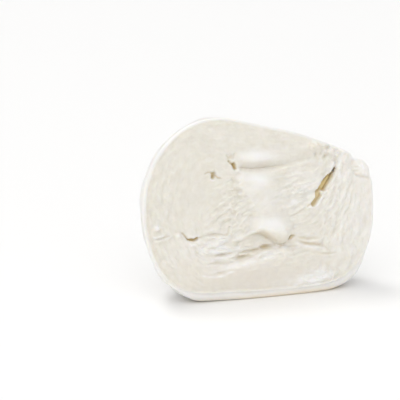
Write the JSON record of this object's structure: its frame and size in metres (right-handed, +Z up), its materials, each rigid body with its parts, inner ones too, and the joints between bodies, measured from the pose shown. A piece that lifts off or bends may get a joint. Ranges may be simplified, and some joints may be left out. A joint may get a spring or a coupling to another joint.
{
  "type": "halved mozzarella ball",
  "caption": "Half of a fresh mozzarella ball standing on its flattened underside, with a torn, folded cut face leaning back and a smooth domed skin with a pinched knob.",
  "frame": {"origin": "middle of the bottom of the bounding box, on the surface the cheese rests on", "axes": "+Z up; the cut face looks towards -Y and leans back 8 degrees; +X runs along the width of the cut face, towards the pinched knob"},
  "size_m": [0.0944, 0.038, 0.0701],
  "materials": {
    "curd": "moist satin, slightly translucent, warm ivory inside with a whiter glossy skin"
  },
  "bodies": {
    "root": {"mozzarella_half": "curd"}
  },
  "joints": []
}
